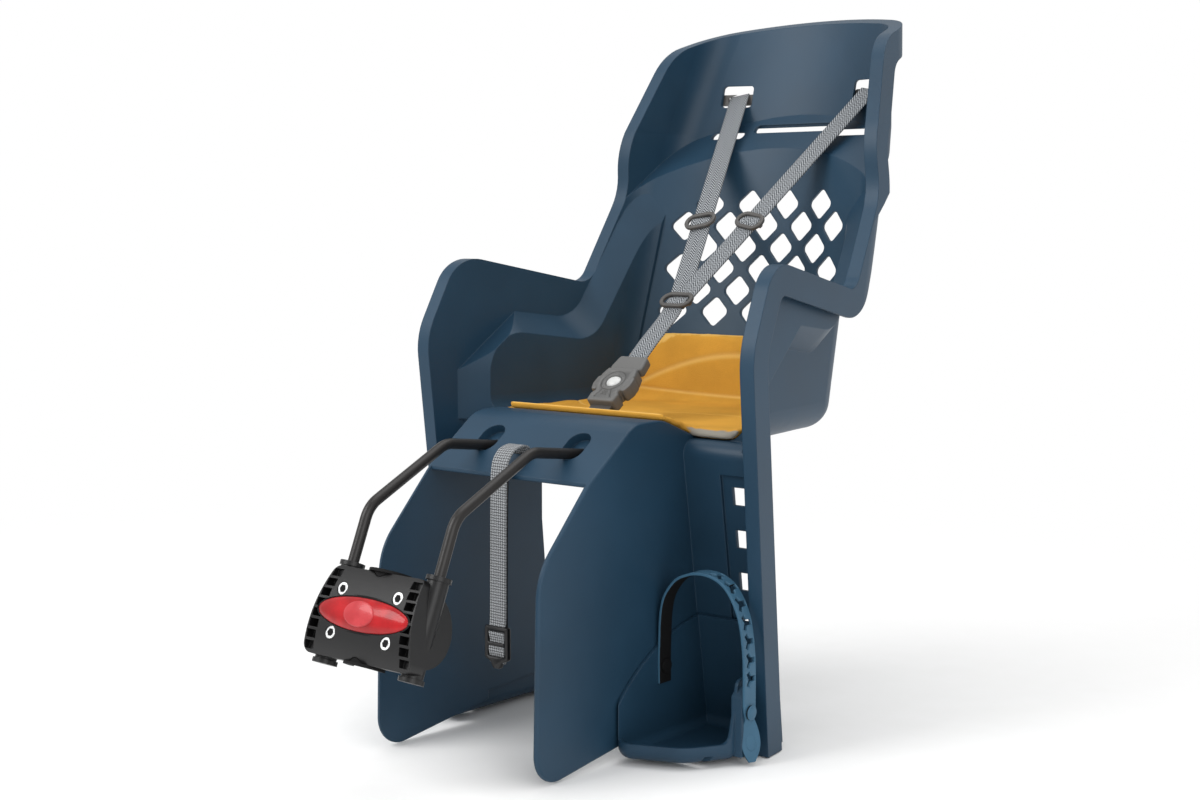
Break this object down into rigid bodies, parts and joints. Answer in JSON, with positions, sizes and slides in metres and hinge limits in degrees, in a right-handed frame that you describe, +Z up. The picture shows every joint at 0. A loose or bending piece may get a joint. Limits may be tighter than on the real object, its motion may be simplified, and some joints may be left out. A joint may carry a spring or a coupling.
{
  "type": "child bike seat",
  "caption": "Rear child bike seat: moulded shell with harness, pad and sliding footrests on a bent carrier rod that drops into a seat-tube clamp block.",
  "frame": {"origin": "centre of the seat-tube clamp, on the tube's axis", "axes": "+Z up, -Y forward (direction of riding), +X to the rider's left"},
  "size_m": [0.4098, 0.7235, 0.7034],
  "materials": {
    "shell": "satin, fine moulded grain",
    "pad": "felted pad with embossed lines",
    "rod": "satin black coating",
    "zinc": "zinc plated",
    "brass": "turned",
    "block": "black nylon",
    "liner": "matt",
    "bolt": "bright plated",
    "lens": "glossy red",
    "spring": "spring steel",
    "webbing": "grey herringbone weave",
    "slider": "dark grey",
    "buckle": "mid grey",
    "button": "light grey",
    "security": "coarse plain weave",
    "foot_rubber": "blue-grey"
  },
  "bodies": {
    "block": {"block_front": "block", "block_rear": "block", "tube_liner_front": "liner", "tube_liner_rear": "liner", "block_bolts": "bolt", "block_nuts": "zinc", "release_springs": "spring"},
    "seat": {"seat_shell": "shell", "seat_pad": "pad", "carrier_rod": "rod", "rod_clamp_plate": "zinc", "clamp_screws": "zinc", "clamp_inserts": "brass", "shoulder_strap_left": "webbing", "shoulder_strap_right": "webbing", "shoulder_slider_left": "slider", "shoulder_slider_right": "slider", "strap_retainer_left": "slider", "strap_retainer_right": "slider", "lower_slider": "slider", "lower_strap": "webbing", "buckle_body": "buckle", "buckle_tongue": "buckle", "buckle_spring": "spring", "crotch_strap": "webbing", "crotch_retainer": "slider", "security_strap": "security", "ladder_lock": "block", "security_retainer": "slider"},
    "release_button": {"release_button": "lens"},
    "buckle_button": {"buckle_button": "button"},
    "footrest_left": {"footrest_left": "shell", "foot_strap_left": "foot_rubber", "foot_studs_left": "foot_rubber"},
    "footrest_right": {"footrest_right": "shell", "foot_strap_right": "foot_rubber", "foot_studs_right": "foot_rubber"}
  },
  "joints": [
    {"name": "seat_lift", "type": "slide", "parent": "block", "child": "seat", "axis": [0, 0.3907, 0.9205], "range_m": [0, 0.07]},
    {"name": "release_press", "type": "slide", "parent": "block", "child": "release_button", "axis": [0, 0.9205, -0.3907], "range_m": [0, 0.003], "stiffness_N_per_m": 2500, "deforming": ["release_springs"]},
    {"name": "buckle_press", "type": "slide", "parent": "seat", "child": "buckle_button", "axis": [0, 0.6069, -0.7948], "range_m": [0, 0.0025], "stiffness_N_per_m": 2500, "deforming": ["buckle_spring"]},
    {"name": "footrest_left_height", "type": "slide", "parent": "seat", "child": "footrest_left", "axis": [0, -0.1483, 0.9889], "range_m": [0, 0.081]},
    {"name": "footrest_right_height", "type": "slide", "parent": "seat", "child": "footrest_right", "axis": [0, -0.1483, 0.9889], "range_m": [0, 0.081]}
  ]
}
